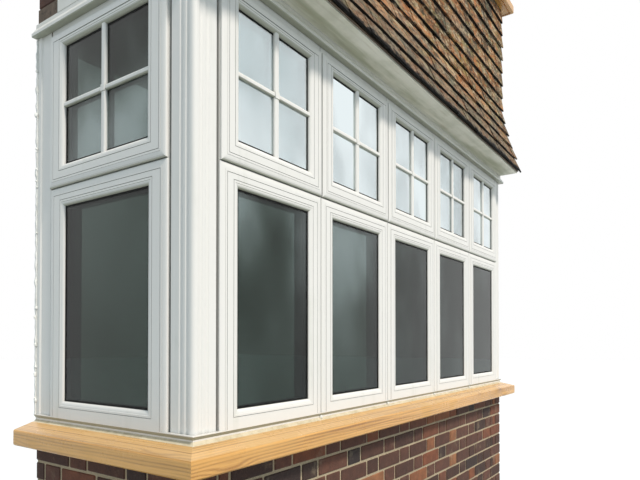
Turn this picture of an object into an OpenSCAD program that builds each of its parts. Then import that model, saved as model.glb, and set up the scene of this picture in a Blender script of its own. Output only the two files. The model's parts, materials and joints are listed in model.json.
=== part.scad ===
// Box bay window: brick dwarf wall, timber sills, white moulded frames and a tile-hung apron.
// Millimetres, +Z up. The street is towards -Y and the house wall is the plane at the back.

/* [Lights] */
// Width of each of the five front lights
light_w = 574; // [500:1:660]
// Width of the light in each return, with its open joint
side_light_w = 690; // [540:1:800]
// Height of the white frames
frame_h = 1490; // [1400:1:1700]
// Depth of the frame section from front to back
frame_t = 70; // [66:1:90]
// Joint between neighbouring frames
frame_joint = 3; // [2:0.5:5]
// Open joint between a frame and a post
post_joint = 9; // [6:0.5:12]
// Depth of that open joint
rebate_d = 14; // [8:1:24]
// Height of the shadow line under the upper sashes
transom_z = 872; // [760:1:960]

/* [Mouldings] */
// Width of the moulding around each light, from its edge to the raised flat
moulding_w = 31; // [26:1:36]
// Distance that the edge of the moulding stands out
moulding_edge = 3; // [2:0.5:4]
// Distance that the flats of the lower lights stand out from the posts
flat_proud = 10; // [8:1:14]
// Distance that the flats of the upper sashes stand out from the posts
sash_proud = 16; // [15:1:22]
// Width of the bead around the glass
bead_w = 25; // [22:1:28]
// Width of the fillet on each moulding and bead
fillet_w = 7; // [5:0.5:9]
// Depth of the glass behind the face of the posts
glass_set = 1; // [0:0.5:4]
// Thickness of the sealed glass units
glass_t = 24; // [20:1:28]

/* [Lower lights] */
// Face width of a front stile, from its edge to the glass
stile_w = 84; // [76:1:100]
// Face width of the stiles in the returns
side_stile_w = 95; // [76:1:110]
// Height of the bottom rail below the glass
bottom_rail_h = 62; // [50:1:90]
// Height of the rail between the lower glass and the shadow line
top_rail_h = 74; // [64:1:90]

/* [Upper sashes] */
// Strip of frame that shows beside each sash
sash_margin = 2; // [1:0.5:8]
// Strip of frame that shows above each sash
sash_head_margin = 27; // [16:1:40]
// Gap of the shadow line under each sash
sash_gap = 2; // [1:0.5:4]
// Height of the sash top rail
sash_top_rail = 56; // [54:1:80]
// Height of the sash bottom rail
sash_bottom_rail = 82; // [66:1:100]
// Overlap of the sash lip on the frame
sash_lip = 16; // [12:1:18]
// Running clearance between sash and frame
sash_clear = 4; // [2:0.5:5]

/* [Posts] */
// Side of the square corner posts
post_w = 105; // [90:1:130]
// Radius of the outer corner of the posts
corner_r = 14; // [8:1:18]
// Distance of the first flute from the corner
flute_start = 20; // [19:1:26]
// Width of each flute in the posts
flute_w = 18; // [14:1:20]
// Depth of each flute
flute_d = 4; // [2:0.5:5]
// Width of the reed between the flutes
reed_w = 9; // [5:1:12]
// Width of the cover board beside the house wall
wall_trim_w = 105; // [80:1:200]
// Width of the raised edge of that board
wall_trim_edge = 36; // [20:1:50]

/* [Dwarf wall and sill] */
// Height of the brick dwarf wall
dwarf_h = 1050; // [600:75:1350]
// Thickness of the dwarf wall
dwarf_t = 215; // [200:1:330]
// Distance that the timber sill stands out from the wall
sill_reach = 88; // [60:1:120]
// Thickness of the nose of the sill
sill_nose = 62; // [45:1:75]
// Fall of the sloped top of the sill
sill_fall = 20; // [10:1:30]
// Height of the white strip between sill and frames
strip_h = 30; // [20:1:40]
// Height of the sloping front of that strip
strip_drip = 14; // [8:1:18]
// Thickness of the inner window board
board_t = 25; // [18:1:32]
// Overhang of the window board over the inner wall face
board_nose = 25; // [10:1:40]

/* [Head and soffit] */
// Height of the head beam over the frames
beam_h = 120; // [100:1:180]
// Thickness of the beam and of the walls above it
upper_wall_t = 102; // [90:1:215]
// Height of the moulding under the soffit
mould_h = 57; // [50:1:75]
// Reach of the lower edge of the moulding
mould_reach = 28; // [18:1:40]
// Thickness of the frieze board over the moulding of the returns
frieze_t = 10; // [6:1:14]
// Distance at which the frieze board stops before the house wall
frieze_stop = 154; // [60:1:240]
// Thickness of the soffit board
soffit_t = 18; // [12:1:25]
// Width of the soffit from the face of the bay
soffit_w = 138; // [110:1:150]
// Thickness of the ceiling board inside the bay
ceiling_t = 25; // [15:1:40]

/* [Tile-hung apron] */
// Height of the tail of the tiles over the soffit
tail_lift = 5; // [2:1:12]
// Number of tile courses
courses = 13; // [9:1:15]
// Height that shows of each course
gauge = 97; // [90:1:115]
// Thickness of one tile
tile_t = 13; // [10:1:16]
// Distance of the upright tiling from the wall
tiling_reach = 42; // [36:1:60]
// Extra reach of the bell-cast foot of the tiling
bell_reach = 133; // [110:1:160]
// Height over which the tiling sweeps out
bell_h = 500; // [300:1:700]
// Overhang of the tiling beyond the side walls
tiling_end = 6; // [0:1:20]
// Thickness of the shaped boards that close the ends of the sweep
end_board_t = 20; // [15:1:30]
// Distance that the upper sill stands out from the wall
upper_sill_reach = 92; // [75:1:120]

/* [Hidden] */

lights = 5;
front_w = 2 * post_w + lights * light_w;
half_w = front_w / 2;
bay_d = post_w + side_light_w + wall_trim_w;
tail_reach = tiling_reach + bell_reach;
face_y = (tail_reach - bay_d) / 2;

// Levels above the ground
sill_h = sill_nose + sill_fall;
frame_z = dwarf_h + sill_h + strip_h;
beam_z = frame_z + frame_h;
soffit_z = beam_z + mould_h;
tail_z = soffit_z + tail_lift;
upper_wall_z = beam_z + beam_h;
upper_sill_z = tail_z + courses * gauge;
upper_wall_h = upper_sill_z - upper_wall_z;

// Places inside a light, measured from its lower corner
lower_glass_z = bottom_rail_h;
lower_glass_h = transom_z - top_rail_h - bottom_rail_h;
sash_z = transom_z + sash_gap;
sash_h = frame_h - sash_head_margin - sash_z;
glass_cover = 12;
glass_gap = 3;
groove = 3;
groove_w = 2;
stop_t = 18;
stop_w = 12;
// Overlap of solids that make one piece
bite = 1;
sash_back = frame_t - stop_t;
front_clear_w = light_w - frame_joint;
side_clear_w = side_light_w - post_joint - frame_joint / 2;

// White, timber, masonry and tile colours
white = "#f3f4f1";
timber = "#d9a85a";
brick = "#6b4a3c";
plaster = "#e6e2d8";
clay = "#9a6a50";
soffit_grey = "#c9cbb8";
glass = "#9fb6bd";

// Points of a quarter ellipse that bulges outwards, from [0, 0] to [w, d]
function ovolo(w, d, steps = 6) =
  [for (i = [0 : steps]) [w * sin(90 * i / steps), d * (1 - cos(90 * i / steps))]];

// Points of a shallow hollow of width w and depth d, along x from x0
function hollow(x0, w, d, steps = 6) =
  let (r = (w * w / 4 + d * d) / (2 * d), a = asin(w / 2 / r))
  [for (i = [0 : steps])
    let (t = -a + 2 * a * i / steps) [x0 + w / 2 + r * sin(t), r * cos(t) - r + d]];

// Rise of a moulding, as [inset, depth], from its outer edge to the raised flat
function edge_profile(edge, flat) =
  let (u = moulding_w - groove_w - fillet_w)
  concat(flip([for (p = ovolo(u, flat - edge - 1, 5)) [u - p[0], p[1] + 1 - flat]]), [[u, -flat]]);

// Fall of the bead around the glass, as [inset, depth], from its fillet to the glass
function bead_profile(d) = let (u = groove_w + fillet_w) concat([[u, -1], [u, 0]],
  [for (p = ovolo(bead_w - u - 1, d - 3)) [p[0] + u + 1, p[1] + 1]]);

// A profile and its mirror image at the far side of the width w
function both_sides(points, w) = concat(points, far_side(points, w));
function far_side(points, w) = flip([for (p = points) [w - p[0], p[1]]]);

// Reach of the tile faces at height h above the tail of the lowest course
function sweep(h) = tiling_reach + (h < bell_h ? bell_reach * pow(1 - h / bell_h, 1.25) : 0);

function flip(points) = [for (i = [len(points) - 1 : -1 : 0]) points[i]];

// Stepped outer outline of the tile courses, from the foot upwards
function course_outline() = [for (i = [0 : courses - 1], k = [0, 1])
  k == 0 ? [-sweep(i * gauge), i * gauge]
         : [-sweep((i + 1) * gauge) + tile_t, (i + 1) * gauge]];

// Back of the swept part, which lies on its shaped end boards
bell_courses = floor(bell_h / gauge);
function bell_back() = [for (i = [0 : bell_courses])
  let (h = i * gauge) [-max(sweep(h) - tiling_reach, 0), h + tile_t + 6]];

// Puts a piece drawn from the face of the bay into the part's frame
module placed() { translate([0, face_y, 0]) children(); }
module mirrored() { mirror([1, 0, 0]) children(); }

// Bar along x with the profile [depth, height]
module bar_x(points, length) { rotate([90, 0, 90]) linear_extrude(length) polygon(points); }

// Bar along y, from the back towards the street, with the profile [depth from the side, height]
module bar_y(points, length) { rotate([90, 0, 0]) linear_extrude(length) polygon(points); }

// Run along the front, mitred at both corners of the bay
module front_run(points, z, reach) {
  inner = 2 * upper_wall_t;
  top = max([for (p = points) p[1]]);
  translate([0, 0, z]) intersection() {
    translate([-half_w - reach, 0, 0]) bar_x(points, front_w + 2 * reach);
    translate([0, 0, -1]) linear_extrude(top + 2)
      polygon([[-half_w - reach, -reach], [half_w + reach, -reach],
               [half_w - inner, inner], [inner - half_w, inner]]);
  }
}

// Run along the left return, mitred at the corner and square at or before the house wall
module left_run(points, z, reach, stop = 0) {
  inner = 2 * upper_wall_t;
  top = max([for (p = points) p[1]]);
  translate([0, 0, z]) intersection() {
    translate([-half_w, bay_d - stop, 0]) bar_y(points, bay_d - stop + reach);
    translate([0, 0, -1]) linear_extrude(top + 2)
      polygon([[-half_w - reach, -reach], [inner - half_w, inner],
               [inner - half_w, bay_d], [-half_w - reach, bay_d]]);
  }
}

// Solid with one outline across its width and another up its height, which meet in mitres
module crossed(w, h, across, up) {
  intersection() {
    translate([0, 0, -1]) linear_extrude(h + 2) polygon(across);
    translate([-1, 0, 0]) bar_x([for (p = up) [p[1], p[0]]], w + 2);
  }
}

// Raised front with a moulded edge all round, or plain at its foot
module moulded_front(w, h, edge, back, with_foot = true) {
  foot = with_foot ? edge : [[0, edge[len(edge) - 1][1]]];
  crossed(w, h, concat([[0, back]], both_sides(edge, w), [[w, back]]),
          concat([[0, back]], foot, far_side(edge, h), [[h, back]]));
}

// Box with a margin m taken off around a rectangle, between depths y0 and y1
module panel(x, z, w, h, y0, y1, m = 0) {
  translate([x + m, y0, z + m]) cube([w - 2 * m, y1 - y0, h - 2 * m]);
}

// Groove around a rectangle, inside its margin m
module groove_ring(x, z, w, h, front, m) {
  difference() {
    panel(x, z, w, h, front - 1, front + groove, m);
    panel(x, z, w, h, front - 2, front + groove + 1, m + groove_w);
  }
}

// Opening for a sealed unit: the bead's groove and round, the view and the rebate of the unit
module glass_opening(x, z, w, h, proud) {
  bead = bead_profile(proud + glass_set);
  wide = w + 2 * bead_w;
  high = h + 2 * bead_w;
  groove_ring(x, z, w, h, -proud, -bead_w);
  translate([x - bead_w, -proud, z - bead_w])
    crossed(wide, high, both_sides(bead, wide), both_sides(bead, high));
  panel(x, z, w, h, -proud - 1, frame_t + 1);
  panel(x, z, w, h, glass_set, glass_set + glass_t, -glass_cover - glass_gap);
}

// Frame of one light: a moulded fixed light below and the seat of a top-hung sash above
module light_frame(w, stile) {
  gw = w - 2 * stile;
  sx = sash_margin + sash_lip;
  sw = w - 2 * sx;
  sz = sash_z + sash_lip;
  sh = sash_h - 2 * sash_lip;
  difference() {
    union() {
      panel(0, 0, w, frame_h, 0, frame_t);
      moulded_front(w, transom_z, edge_profile(moulding_edge, flat_proud), bite, false);
    }
    groove_ring(0, -moulding_w, w, transom_z + moulding_w, -flat_proud, moulding_w - groove_w);
    glass_opening(stile, lower_glass_z, gw, lower_glass_h, flat_proud);
    panel(sx, sz, sw, sh, -1, sash_back);
    panel(sx, sz, sw, sh, -1, frame_t + 1, stop_w);
  }
}

// Top-hung sash with a moulded edge, a raised flat and a beaded glass opening
module light_sash(w, stile) {
  sw = w - 2 * sash_margin;
  gx = stile - sash_margin;
  gw = w - 2 * stile;
  gh = sash_h - sash_top_rail - sash_bottom_rail;
  edge = moulding_edge + sash_proud - flat_proud;
  translate([sash_margin, 0, sash_z]) {
    difference() {
      union() {
        moulded_front(sw, sash_h, edge_profile(edge, sash_proud), 0);
        panel(0, 0, sw, sash_h, -bite, sash_back - 1, sash_lip + sash_clear);
      }
      groove_ring(0, 0, sw, sash_h, -sash_proud, moulding_w - groove_w);
      glass_opening(gx, sash_bottom_rail, gw, gh, sash_proud);
    }
  }
}

// Sealed units of one light
module light_lower_glass(w, stile) {
  panel(stile, lower_glass_z, w - 2 * stile, lower_glass_h,
        glass_set, glass_set + glass_t, -glass_cover);
}
module light_upper_glass(w, stile) {
  panel(stile, sash_z + sash_bottom_rail, w - 2 * stile,
        sash_h - sash_top_rail - sash_bottom_rail, glass_set, glass_set + glass_t, -glass_cover);
}

// Places of the lights: five along the front, one in each return
module at_front(k) {
  translate([-half_w + post_w + (k - 1) * light_w + frame_joint / 2, 0, frame_z]) children();
}
module at_left() {
  translate([-half_w, post_w + side_light_w - frame_joint / 2, frame_z])
    rotate([0, 0, -90]) children();
}

module front_frame(k) { color(white) placed() at_front(k) light_frame(front_clear_w, stile_w); }
module left_frame() { color(white) placed() at_left() light_frame(side_clear_w, side_stile_w); }
module right_frame() { mirrored() left_frame(); }

module front_sash(k) { color(white) placed() at_front(k) light_sash(front_clear_w, stile_w); }
module left_sash() { color(white) placed() at_left() light_sash(side_clear_w, side_stile_w); }
module right_sash() { mirrored() left_sash(); }

module lower_glass() {
  color(glass) placed() {
    for (k = [1 : lights]) at_front(k) light_lower_glass(front_clear_w, stile_w);
    at_left() light_lower_glass(side_clear_w, side_stile_w);
    mirrored() at_left() light_lower_glass(side_clear_w, side_stile_w);
  }
}
module upper_glass() {
  color(glass) placed() {
    for (k = [1 : lights]) at_front(k) light_upper_glass(front_clear_w, stile_w);
    at_left() light_upper_glass(side_clear_w, side_stile_w);
    mirrored() at_left() light_upper_glass(side_clear_w, side_stile_w);
  }
}

// Square post with a rounded corner and two flutes on each outer face, rebated for the lights
module corner_post_left() {
  along = concat(hollow(flute_start, flute_w, flute_d),
                 hollow(flute_start + flute_w + reed_w, flute_w, flute_d));
  arris = 2;
  front_edge = post_w - post_joint + frame_joint / 2;
  front_back = post_w - frame_joint / 2;
  side_edge = post_w;
  side_back = post_w + post_joint - frame_joint;
  outline = concat(along,
                   [[front_edge - arris, 0], [front_edge, arris], [front_edge, rebate_d],
                    [front_back, rebate_d], [front_back, frame_t], [frame_t, frame_t],
                    [frame_t, side_back], [rebate_d, side_back], [rebate_d, side_edge],
                    [arris, side_edge], [0, side_edge - arris]],
                   flip([for (p = along) [p[1], p[0]]]),
                   [for (i = [0 : 6])
                     corner_r * [1 - cos(15 * i), 1 - sin(15 * i)]]);
  color(white) placed() translate([-half_w, 0, frame_z]) linear_extrude(frame_h) polygon(outline);
}
module corner_post_right() { mirrored() corner_post_left(); }

// Cover board between the return and the house wall, with a raised rounded edge
module wall_trim_left() {
  edge = 5;
  start = post_joint - frame_joint / 2;
  y_edge = wall_trim_w - wall_trim_edge;
  outline = [[0, start], [rebate_d, start], [rebate_d, frame_joint / 2], [frame_t, frame_joint / 2],
             [frame_t, wall_trim_w], [-edge + 3, wall_trim_w], [-edge, wall_trim_w - 3],
             [-edge, y_edge + 6], [0, y_edge]];
  color(white) placed() translate([-half_w, bay_d - wall_trim_w, frame_z])
    linear_extrude(frame_h) polygon(outline);
}
module wall_trim_right() { mirrored() wall_trim_left(); }

// Brick walls from the ground to the sill, with an inner leaf up to the window board
leaf_y = frame_t + 8;
leaf_h = frame_z - board_t - dwarf_h;
module dwarf_wall_front() {
  color(brick) placed() {
    translate([-half_w, 0, 0]) cube([front_w, dwarf_t, dwarf_h]);
    translate([leaf_y - half_w, leaf_y, dwarf_h])
      cube([front_w - 2 * leaf_y, dwarf_t - leaf_y, leaf_h]);
  }
}
module dwarf_wall_left() {
  color(brick) placed() {
    translate([-half_w, dwarf_t, 0]) cube([dwarf_t, bay_d - dwarf_t, dwarf_h]);
    translate([leaf_y - half_w, dwarf_t, dwarf_h])
      cube([dwarf_t - leaf_y, bay_d - dwarf_t, leaf_h]);
  }
}
module dwarf_wall_right() { mirrored() dwarf_wall_left(); }

// Weathered sill with a rounded nose and a drip groove
function sill_profile(reach, back, nose) = [
  [back, 0], [-reach + 28, 0], [-reach + 28, 7], [-reach + 18, 7], [-reach + 18, 0],
  [-reach + 5, 0], [-reach, 5], [-reach, nose - 7], [-reach + 2, nose - 2], [-reach + 7, nose],
  [-flat_proud - 6, nose + sill_fall], [back, nose + sill_fall]];

module timber_sill_front() {
  color(timber) placed()
    front_run(sill_profile(sill_reach, frame_t + 4, sill_nose), dwarf_h, sill_reach);
}
module timber_sill_left() {
  color(timber) placed()
    left_run(sill_profile(sill_reach, frame_t + 4, sill_nose), dwarf_h, sill_reach);
}
module timber_sill_right() { mirrored() timber_sill_left(); }

// White strip under the frames, flush with the flats, sloping back to a shadow gap over the sill
strip_gap_y = 2;
strip_profile = [[frame_t, 0], [-strip_gap_y, 0], [-strip_gap_y, strip_h - strip_drip],
                 [-flat_proud, strip_h - 3], [-flat_proud, strip_h], [frame_t, strip_h]];
module base_strip_front() {
  color(white) placed() front_run(strip_profile, dwarf_h + sill_h, flat_proud);
}
module base_strip_sides() {
  color(white) placed() {
    left_run(strip_profile, dwarf_h + sill_h, flat_proud);
    mirrored() left_run(strip_profile, dwarf_h + sill_h, flat_proud);
  }
}

// Inner window boards with a rounded nose
board_end = dwarf_t + board_nose;
module window_board_front() {
  color(white) placed() translate([frame_t - half_w, 0, frame_z - board_t])
    bar_x([[frame_t, 0], [board_end - 4, 0], [board_end, 5], [board_end, board_t - 5],
           [board_end - 4, board_t], [frame_t, board_t]], front_w - 2 * frame_t);
}
module left_window_board() {
  translate([-half_w, bay_d, frame_z - board_t])
    bar_y([[frame_t, 0], [board_end - 4, 0], [board_end, 5], [board_end, board_t - 5],
           [board_end - 4, board_t], [frame_t, board_t]], bay_d - board_end);
}
module window_board_sides() {
  color(white) placed() { left_window_board(); mirrored() left_window_board(); }
}

// Beams over the frames, which carry the walls above
module head_beam_front() {
  color(timber) placed() translate([-half_w, 0, beam_z]) cube([front_w, upper_wall_t, beam_h]);
}
module left_beam() {
  translate([-half_w, upper_wall_t, beam_z]) cube([upper_wall_t, bay_d - upper_wall_t, beam_h]);
}
module head_beam_sides() { color(timber) placed() { left_beam(); mirrored() left_beam(); } }

// Moulding under the soffit, with a frieze board over it on the returns
mould_profile = [[0, 0], [-mould_reach + 2, 0], [-mould_reach, 3], [-mould_reach, 14],
                 [-mould_reach + 5, 17], [-mould_reach + 7, 24], [-mould_reach + 12, 32],
                 [-10, 40], [-9, mould_h], [0, mould_h]];
frieze_profile = [[0, mould_h], [-frieze_t, mould_h], [-frieze_t, beam_h], [0, beam_h]];
module left_mould() {
  left_run(mould_profile, beam_z, mould_reach);
  left_run(frieze_profile, beam_z, frieze_t, frieze_stop);
}
module bed_mould_front() {
  color(white) placed() front_run(mould_profile, beam_z, mould_reach);
}
module bed_mould_sides() { color(white) placed() { left_mould(); mirrored() left_mould(); } }

// Soffit board under the bell-cast foot, and the ceiling inside
module soffit_board() {
  color(soffit_grey) placed() translate([-half_w, -soffit_w, soffit_z])
    cube([front_w, soffit_w, soffit_t]);
}
module bay_ceiling() {
  color(plaster) placed() translate([upper_wall_t - half_w, upper_wall_t, beam_z])
    cube([front_w - 2 * upper_wall_t, bay_d - upper_wall_t, ceiling_t]);
}

// Walls over the beams: a front wall behind the tiling and two brick cheeks
module apron_wall() {
  color(brick) placed() translate([-half_w, 0, upper_wall_z])
    cube([front_w, upper_wall_t, upper_wall_h]);
}
module cheek_wall_left() {
  color(brick) placed() translate([-half_w, upper_wall_t, upper_wall_z])
    cube([upper_wall_t, bay_d - upper_wall_t, upper_wall_h]);
}
module cheek_wall_right() { mirrored() cheek_wall_left(); }

// Tile courses with a bell-cast foot, on boards shaped to the sweep
bell_top = bell_back()[bell_courses];
module tile_apron() {
  outline = concat(course_outline(), [[0, courses * gauge]],
                   [[0, bell_top[1]]], flip(bell_back()));
  color(clay) placed() translate([-half_w - tiling_end, 0, tail_z])
    bar_x(outline, front_w + 2 * tiling_end);
}
module left_end_board() {
  low = soffit_z + soffit_t - tail_z;
  outline = concat([[0, low], [-soffit_w, low]],
                   [for (p = bell_back()) if (p[1] > low && p[0] > -soffit_w) p],
                   [[0, bell_top[1]]]);
  translate([-half_w, 0, tail_z]) bar_x(outline, end_board_t);
}
module bellcast_ends() {
  color(clay) placed() { left_end_board(); mirrored() left_end_board(); }
}

// Sill of the storey above, which caps the apron and the cheeks
upper_profile = sill_profile(upper_sill_reach, upper_wall_t, sill_nose);
module upper_sill_front() {
  color(timber) placed() front_run(upper_profile, upper_sill_z, upper_sill_reach);
}
module upper_sill_left() {
  color(timber) placed() left_run(upper_profile, upper_sill_z, upper_sill_reach);
}
module upper_sill_right() { mirrored() upper_sill_left(); }

dwarf_wall_front();
dwarf_wall_left();
dwarf_wall_right();
timber_sill_front();
timber_sill_left();
timber_sill_right();
base_strip_front();
base_strip_sides();
window_board_front();
window_board_sides();
corner_post_left();
corner_post_right();
wall_trim_left();
wall_trim_right();
front_frame(1);  // front_frame_1
front_frame(2);  // front_frame_2
front_frame(3);  // front_frame_3
front_frame(4);  // front_frame_4
front_frame(5);  // front_frame_5
left_frame();
right_frame();
front_sash(1);  // front_sash_1
front_sash(2);  // front_sash_2
front_sash(3);  // front_sash_3
front_sash(4);  // front_sash_4
front_sash(5);  // front_sash_5
left_sash();
right_sash();
lower_glass();
upper_glass();
head_beam_front();
head_beam_sides();
bed_mould_front();
bed_mould_sides();
soffit_board();
bay_ceiling();
apron_wall();
cheek_wall_left();
cheek_wall_right();
tile_apron();
bellcast_ends();
upper_sill_front();
upper_sill_left();
upper_sill_right();
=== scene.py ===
"""Bricks, tiles, glazing and finishes for a square box bay window, around its fixed frame."""
import json
import math
import random
from collections import namedtuple
from types import SimpleNamespace

import bmesh
import bpy
from bpy.props import FloatProperty, FloatVectorProperty, IntProperty, PointerProperty
from bpy.types import Operator, Panel, PropertyGroup
from mathutils import Matrix, Vector, noise


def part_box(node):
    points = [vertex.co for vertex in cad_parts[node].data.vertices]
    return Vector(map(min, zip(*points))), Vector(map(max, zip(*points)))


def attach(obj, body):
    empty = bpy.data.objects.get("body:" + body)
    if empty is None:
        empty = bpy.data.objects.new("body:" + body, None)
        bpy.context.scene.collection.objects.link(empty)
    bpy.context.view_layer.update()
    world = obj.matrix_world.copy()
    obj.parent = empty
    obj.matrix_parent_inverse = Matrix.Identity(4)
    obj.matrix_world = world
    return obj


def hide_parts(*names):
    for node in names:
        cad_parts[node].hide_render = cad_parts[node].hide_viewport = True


bl_info = {
    "name": "Bay Window",
    "version": (1, 0, 0),
    "blender": (4, 5, 0),
    "location": "3D View > Sidebar > Bay",
    "description": "Bricks, tiles, glazing and finishes for a square box bay window",
    "category": "Object",
}

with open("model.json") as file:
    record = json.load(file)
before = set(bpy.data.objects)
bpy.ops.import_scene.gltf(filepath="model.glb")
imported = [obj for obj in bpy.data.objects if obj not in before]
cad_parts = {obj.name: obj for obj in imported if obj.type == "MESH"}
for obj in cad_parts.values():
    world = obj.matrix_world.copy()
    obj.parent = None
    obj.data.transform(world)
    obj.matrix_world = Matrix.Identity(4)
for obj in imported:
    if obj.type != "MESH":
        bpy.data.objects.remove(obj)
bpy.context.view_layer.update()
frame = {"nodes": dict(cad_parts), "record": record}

# Places that the frame gives, in metres: the bay's face, its back and the levels of its parts
HALF_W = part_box("dwarf_wall_front")[1].x
FACE_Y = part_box("dwarf_wall_front")[0].y
BACK_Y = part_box("dwarf_wall_left")[1].y
DWARF_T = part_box("dwarf_wall_front")[1].y - FACE_Y
SILL_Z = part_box("timber_sill_front")[0].z
LEAF_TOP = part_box("dwarf_wall_front")[1].z
LEAF_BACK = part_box("window_board_front")[0].y - FACE_Y
FRAME_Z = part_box("front_frame_1")[0].z
FRAME_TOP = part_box("front_frame_1")[1].z
UPPER_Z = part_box("apron_wall")[0].z
UPPER_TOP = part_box("apron_wall")[1].z
UPPER_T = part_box("apron_wall")[1].y - FACE_Y
TAIL_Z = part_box("tile_apron")[0].z
TILE_HALF_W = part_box("tile_apron")[1].x
STRIP_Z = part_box("base_strip_front")[0].z
GLASS_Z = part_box("lower_glass")[0].z
GLASS_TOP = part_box("lower_glass")[1].z
GLUE_LINE_Y = (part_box("timber_sill_front")[0].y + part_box("base_strip_front")[0].y) / 2
GLUE_LINE_X = (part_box("timber_sill_right")[1].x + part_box("base_strip_sides")[1].x) / 2

FRONT_LENGTH = 2 * HALF_W
SIDE_LENGTH = BACK_Y - FACE_Y
FRONT_LIGHTS = 5
ROOT = "root"

# How unevenly the bricks and tiles lie, in metres and degrees
BRICK_PROUD = 0.002
BRICK_LIFT = 0.0008
BRICK_TURN = 0.35
BRICK_LEAN = 0.4
TILE_DROP = 0.006
TILE_PROUD = 0.0015
TILE_TWIST = 0.4
TILE_TIP = (-0.4, 0.3)
TILE_CAMBER = (-0.0005, 0.002)
TILE_WARP = 0.0015

# Bevel of a brick, set-back of the tiles in their reach and width of the timber's rings
BRICK_BEVEL = 0.0035
TILE_SETBACK = 0.004
TIMBER_RING = 0.011


def turned(degrees, axis):
    return Matrix.Rotation(math.radians(degrees), 4, axis)


def moved(x, y, z):
    return Matrix.Translation((x, y, z))


# Each wall's own axes are along, inwards and up, and these turn them into the bay's
WALLS = {
    "front": moved(-HALF_W, FACE_Y, 0),
    "left": moved(-HALF_W, BACK_Y, 0) @ turned(-90, "Z"),
    "right": moved(HALF_W, FACE_Y, 0) @ turned(90, "Z"),
}


# Colours

def linear(hex_colour):
    """Scene colour of a screen colour written as six hex digits."""
    channels = [int(hex_colour[i:i + 2], 16) / 255 for i in (0, 2, 4)]
    return tuple(c / 12.92 if c <= 0.04045 else ((c + 0.055) / 1.055) ** 2.4 for c in channels)


def rgba(colour):
    """Opaque colour, from three channels or six hex digits."""
    return (*(linear(colour) if isinstance(colour, str) else colour), 1)


def colour_property(name, hex_colour, description):
    return FloatVectorProperty(name=name, description=description, subtype="COLOR",
                               min=0, max=1, default=linear(hex_colour))


def length_property(name, metres, description):
    return FloatProperty(name=name, description=description, default=metres, min=0,
                         subtype="DISTANCE", unit="LENGTH", precision=4)


# Settings

class BayBrickSettings(PropertyGroup):
    length: length_property("Length", 0.215, "Length of a brick")
    width: length_property("Width", 0.1025, "Width of a brick")
    height: length_property("Height", 0.065, "Height of a brick")
    joint: length_property("Joint", 0.010, "Width of the mortar joints")
    recess: length_property("Recess", 0.005, "Depth of the mortar behind the brick faces")
    plaster: length_property("Plaster", 0.012, "Thickness of the plaster inside")


class BayTileSettings(PropertyGroup):
    courses: IntProperty(name="Courses", description="Number of tile courses", default=13, min=1)
    width: length_property("Width", 0.165, "Width of a tile")
    thickness: length_property("Thickness", 0.010, "Thickness of a tile")
    gap: length_property("Gap", 0.0012, "Gap between neighbouring tiles")
    slack: length_property("Slack", 0.003, "Gap under a tile's tail, which its camber leaves")
    lap: length_property("Lap", 0.040, "Part of a tile that lies under the next course")
    reach: length_property("Reach", 0.042, "Distance of the upright tiles from the wall")
    bell_reach: length_property("Bell-cast", 0.133, "Extra reach of the foot of the tiling")
    bell_height: length_property("Bell-cast height", 0.5, "Height over which the foot sweeps out")


class BayGlazingSettings(PropertyGroup):
    pane: length_property("Pane", 0.004, "Thickness of one sheet of glass")
    cover: length_property("Cover", 0.012, "Edge of a sealed unit that its bead hides")
    gasket: length_property("Gasket", 0.007, "Visible width of the dark gasket")
    spacer: length_property("Spacer", 0.009, "Visible width of the spacer between the panes")
    upright: length_property("Upright bar", 0.025, "Width of the upright glazing bar")
    rail: length_property("Cross bar", 0.020, "Height of the level glazing bar")
    bar_depth: length_property("Bar depth", 0.011, "Distance that the bars stand off the glass")


class BayFinishSettings(PropertyGroup):
    white: colour_property("White paint", "eeebe6", "Frames, sashes, posts and mouldings")
    # Faint dirt, and also the colour of the painted shade in the crevices of the white paint
    grime_and_shade: colour_property("Grime", "c9cbbd", "Faint dirt on the white paint")
    timber: colour_property("Timber", "d8a259", "Golden timber of the sills")
    timber_dark: colour_property("Timber grain", "98622b", "Dark grain and knots of the sills")
    brick: colour_property("Brick", "6b4638", "Middle colour of the bricks")
    mortar: colour_property("Mortar", "b7a68a", "Mortar of the brickwork")
    bleached: colour_property("Bleached timber", "ceb284", "Weathered top of the sills")
    tile: colour_property("Tile", "9a6e48", "Middle colour of the clay tiles")
    lichen: colour_property("Lichen", "78766a", "Lichen on the tiles")
    soffit: colour_property("Soffit", "e9e6d8", "Paint of the soffit board")
    # Green stains, and also the colour of the painted shade on the undersides of the white paint
    algae_and_shade: colour_property("Algae", "8f9372", "Green stains under the eaves")
    # A dark tint, which also stands as painted shade of the unlit room behind the glass
    glass: colour_property("Glass", "616f68", "Tint of each sheet of glass")
    # Painted reflection of the sky: the colour of the upper front glass and of its painted clouds
    painted_sky_glass: colour_property("Sky glass", "e8f2f4", "Tint of the glass that the sky brightens")


class BayStageSettings(PropertyGroup):
    sun: FloatProperty(name="Sun", description="Strength of the soft main light", default=3.0, min=0)
    sky: FloatProperty(name="Sky", description="Strength of the light from all around",
                       default=0.60, min=0)
    lens: FloatProperty(name="Lens", description="Focal length of the camera in millimetres",
                        default=31.13, min=1)


# Materials

class Value:
    """What a node gives, which adds, subtracts and multiplies like a number."""

    def __init__(self, nodes, socket):
        self.nodes, self.socket = nodes, socket

    def __add__(self, other):
        return self.nodes.math("ADD", self, other)

    def __sub__(self, other):
        return self.nodes.math("SUBTRACT", self, other)

    def __rsub__(self, other):
        return self.nodes.math("SUBTRACT", other, self)

    def __mul__(self, other):
        return self.nodes.math("MULTIPLY", self, other)


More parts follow.
